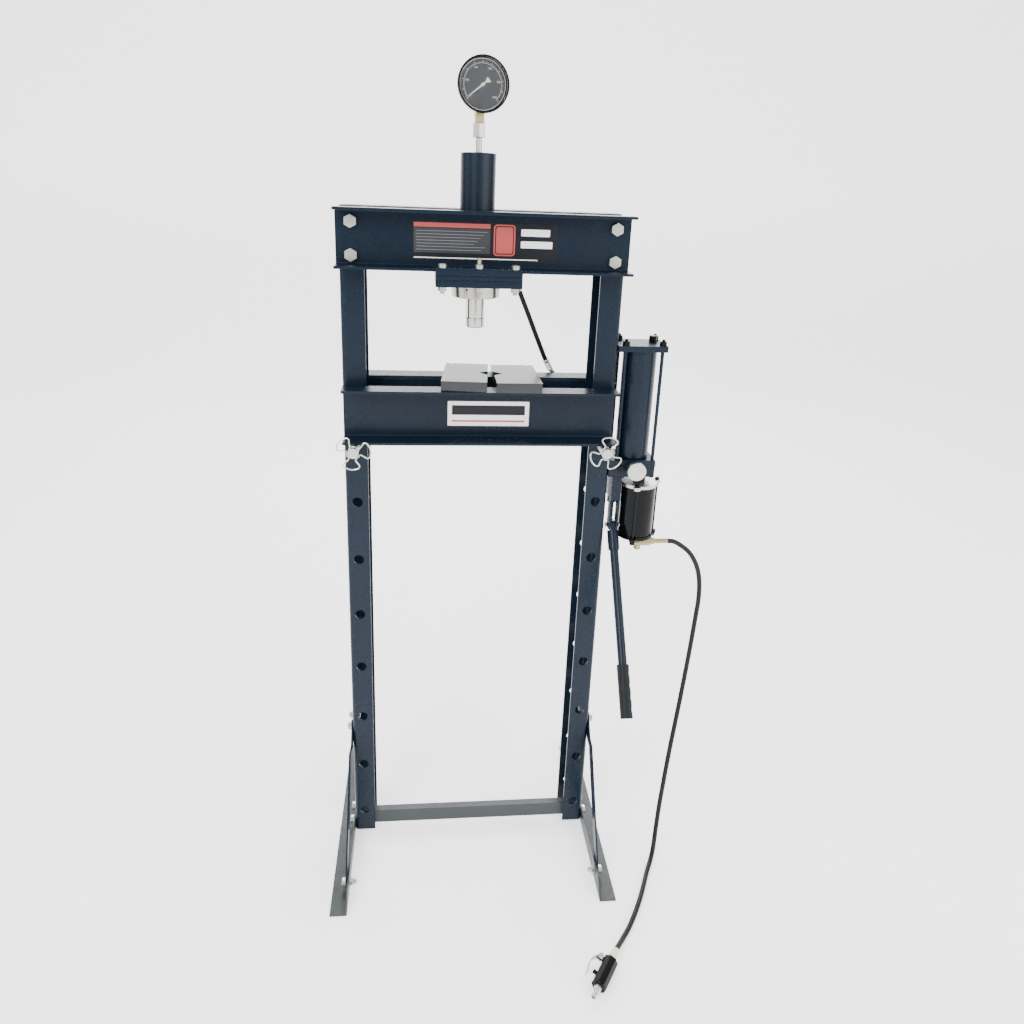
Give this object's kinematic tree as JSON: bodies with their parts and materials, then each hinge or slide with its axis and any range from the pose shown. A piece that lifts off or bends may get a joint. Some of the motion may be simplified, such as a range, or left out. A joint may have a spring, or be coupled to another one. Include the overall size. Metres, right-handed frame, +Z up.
{
  "type": "hydraulic shop press",
  "caption": "H-frame hydraulic shop press with a sliding cylinder head, gauge, pinned bed with arbor plates, and an air and hand pump on the right post.",
  "frame": {"origin": "middle of the bounding box of the press without its free air hose, at floor level", "axes": "+Z up, -Y towards the operator, +X towards the pump"},
  "size_m": [0.9066, 0.8522, 1.8715],
  "materials": {
    "blue_paint": "gloss, dark blue",
    "grey_paint": "satin, worn grey",
    "zinc": "bright zinc plate",
    "chrome": "polished",
    "plate_steel": "bare, sawn",
    "ring_steel": "turned",
    "spring_steel": "drawn wire",
    "brass": "turned",
    "black_metal": "satin black",
    "hose_rubber": "smooth",
    "grip_rubber": "moulded",
    "needle_paint": "painted off-white",
    "clear_lens": "clear",
    "cream_plastic": "moulded"
  },
  "bodies": {
    "frame": {"left_post": "blue_paint", "right_post": "blue_paint", "left_foot": "grey_paint", "right_foot": "grey_paint", "left_front_strut": "blue_paint", "left_rear_strut": "blue_paint", "right_front_strut": "blue_paint", "right_rear_strut": "blue_paint", "left_head_bolt_1": "zinc", "left_head_bolt_2": "zinc", "right_head_bolt_1": "zinc", "right_head_bolt_2": "zinc", "cross_bar": "grey_paint", "head_beam_front": "blue_paint", "head_beam_rear": "blue_paint", "pump_block": "blue_paint", "reservoir_tube": "blue_paint", "reservoir_cover": "blue_paint", "filler_plug": "black_metal", "hand_pump_cylinder": "blue_paint", "motor_top_flange": "zinc", "motor_bottom_flange": "black_metal", "motor_tube": "black_metal", "air_fitting": "brass", "air_hose": "hose_rubber", "strain_relief": "cream_plastic", "air_valve_body": "black_metal", "quick_nipple": "zinc", "hydraulic_hose": "hose_rubber"},
    "head": {"head_base_plate": "blue_paint", "head_middle_plate": "blue_paint", "head_guide_plate": "blue_paint", "cylinder_barrel": "blue_paint", "retaining_ring": "ring_steel", "return_spring": "spring_steel", "gauge_nipple": "zinc", "gauge_coupling_nut": "zinc", "gauge_stem": "brass", "gauge_case": "black_metal", "gauge_lens": "clear_lens", "head_hose_elbow": "black_metal"},
    "ram": {"piston_rod": "chrome", "ram_saddle": "chrome"},
    "needle": {"gauge_needle": "needle_paint"},
    "bed": {"bed_beam_front": "blue_paint", "bed_beam_rear": "blue_paint", "bed_spacer_left": "blue_paint", "bed_spacer_right": "blue_paint"},
    "left_pin": {"left_bed_pin": "zinc", "left_pin_handle": "zinc"},
    "right_pin": {"right_bed_pin": "zinc", "right_pin_handle": "zinc"},
    "left_plate": {"left_arbor_plate": "plate_steel"},
    "right_plate": {"right_arbor_plate": "plate_steel"},
    "lever": {"lever_socket": "blue_paint", "lever_tube": "blue_paint", "lever_grip": "grip_rubber"},
    "plunger": {"hand_pump_plunger": "ring_steel"},
    "knob": {"release_knob": "zinc"},
    "valve_lever": {"air_valve_lever": "zinc"}
  },
  "joints": [
    {"name": "head_slide", "type": "slide", "parent": "frame", "child": "head", "axis": [1, 0, 0], "range_m": [-0.09, 0.12], "deforming": ["hydraulic_hose"]},
    {"name": "ram_slide", "type": "slide", "parent": "head", "child": "ram", "axis": [0, 0, -1], "range_m": [0, 0.076], "stiffness_N_per_m": 2500, "springref_m": -0.05, "deforming": ["return_spring"]},
    {"name": "needle_turn", "type": "hinge", "parent": "head", "child": "needle", "pos_m": [-0.07735, 0.00619, 1.818], "axis": [-0.2079, 0.9781, 0], "range_deg": [0, 270], "stiffness_Nm_per_rad": 0.001, "springref_deg": -22.92},
    {"name": "bed_lift", "type": "slide", "parent": "frame", "child": "bed", "axis": [0, 0, 1], "range_m": [0, 0.02]},
    {"name": "left_pin_pull", "type": "slide", "parent": "frame", "child": "left_pin", "axis": [0, -1, 0], "range_m": [0, 0.23]},
    {"name": "right_pin_pull", "type": "slide", "parent": "frame", "child": "right_pin", "axis": [0, -1, 0], "range_m": [0, 0.23]},
    {"name": "left_plate_slide", "type": "slide", "parent": "bed", "child": "left_plate", "axis": [1, 0, 0], "range_m": [-0.12, 0]},
    {"name": "right_plate_slide", "type": "slide", "parent": "bed", "child": "right_plate", "axis": [1, 0, 0], "range_m": [0, 0.1]},
    {"name": "lever_swing", "type": "hinge", "parent": "frame", "child": "lever", "pos_m": [0.25965, -0.02381, 0.872], "axis": [-1, 0, 0], "range_deg": [-30, 50]},
    {"name": "plunger_stroke", "type": "slide", "parent": "frame", "child": "plunger", "axis": [0, 0, -1], "range_m": [-0.0125, 0.0205]},
    {"name": "release_knob_turn", "type": "hinge", "parent": "frame", "child": "knob", "pos_m": [0.29665, -0.06181, 1.02], "axis": [0, 1, 0], "range_deg": [0, 360]},
    {"name": "air_valve_press", "type": "hinge", "parent": "frame", "child": "valve_lever", "pos_m": [0.20423, -0.45869, 0.02482], "axis": [0.2817, -0.194, 0.9397], "range_deg": [0, 8], "stiffness_Nm_per_rad": 0.3, "springref_deg": -17.19}
  ],
  "couplings": [
    {"joint": "plunger_stroke", "follows": "lever_swing", "m_per_rad": 0.0225}
  ]
}
